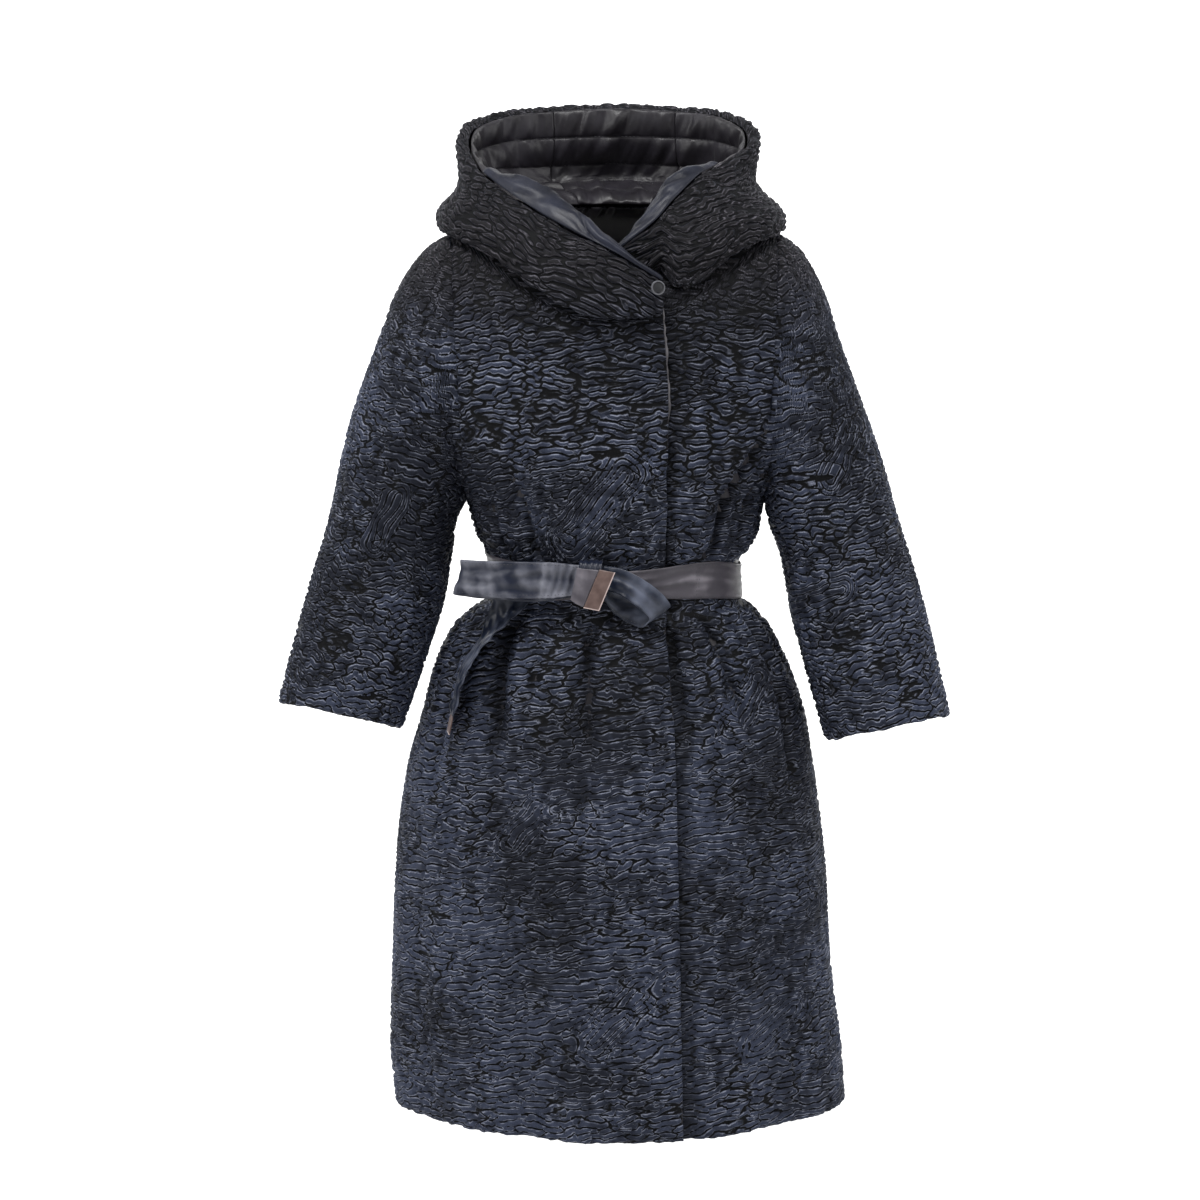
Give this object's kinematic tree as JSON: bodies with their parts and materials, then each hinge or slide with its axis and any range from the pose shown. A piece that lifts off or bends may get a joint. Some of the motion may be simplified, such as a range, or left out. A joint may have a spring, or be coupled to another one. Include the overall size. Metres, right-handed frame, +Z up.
{
  "type": "hooded wrap coat",
  "caption": "Knee-length hooded wrap coat in dark crimped curly pile, with wide short sleeves, a quilted hood lining, a satin belt tied in a bow and slanted pockets, in its worn, hollow form.",
  "frame": {"origin": "middle of the yoke between the two shoulders, at the height of the neck seam, where the wearer's shoulders hold the coat", "axes": "+Z up, the front faces -Y, the wearer's left side is on +X"},
  "size_m": [0.711, 0.3613, 1.0797],
  "materials": {
    "pile": "crimped curly pile, blue-black with a soft sheen",
    "satin": "dark quilted satin",
    "belt_satin": "soft satin, grey-blue",
    "leather": "smooth, stitched",
    "metal": "dark snap with a light rim"
  },
  "bodies": {
    "root": {"back": "pile", "front_right": "pile", "front_left": "pile", "sleeve_right": "pile", "sleeve_left": "pile", "hood_right": "pile", "hood_centre": "pile", "hood_left": "pile", "lining_right": "satin", "lining_centre": "satin", "lining_left": "satin", "facing_right": "satin", "facing_left": "satin", "front_facing": "satin", "pocket_welt_right": "pile", "pocket_welt_left": "pile", "snap_button": "metal", "belt_band": "belt_satin", "belt_knot": "belt_satin", "belt_loop_left": "belt_satin", "belt_loop_right": "belt_satin", "belt_tail": "belt_satin", "belt_tail_leather": "leather", "belt_short_end": "belt_satin", "belt_short_end_leather": "leather"}
  },
  "joints": []
}
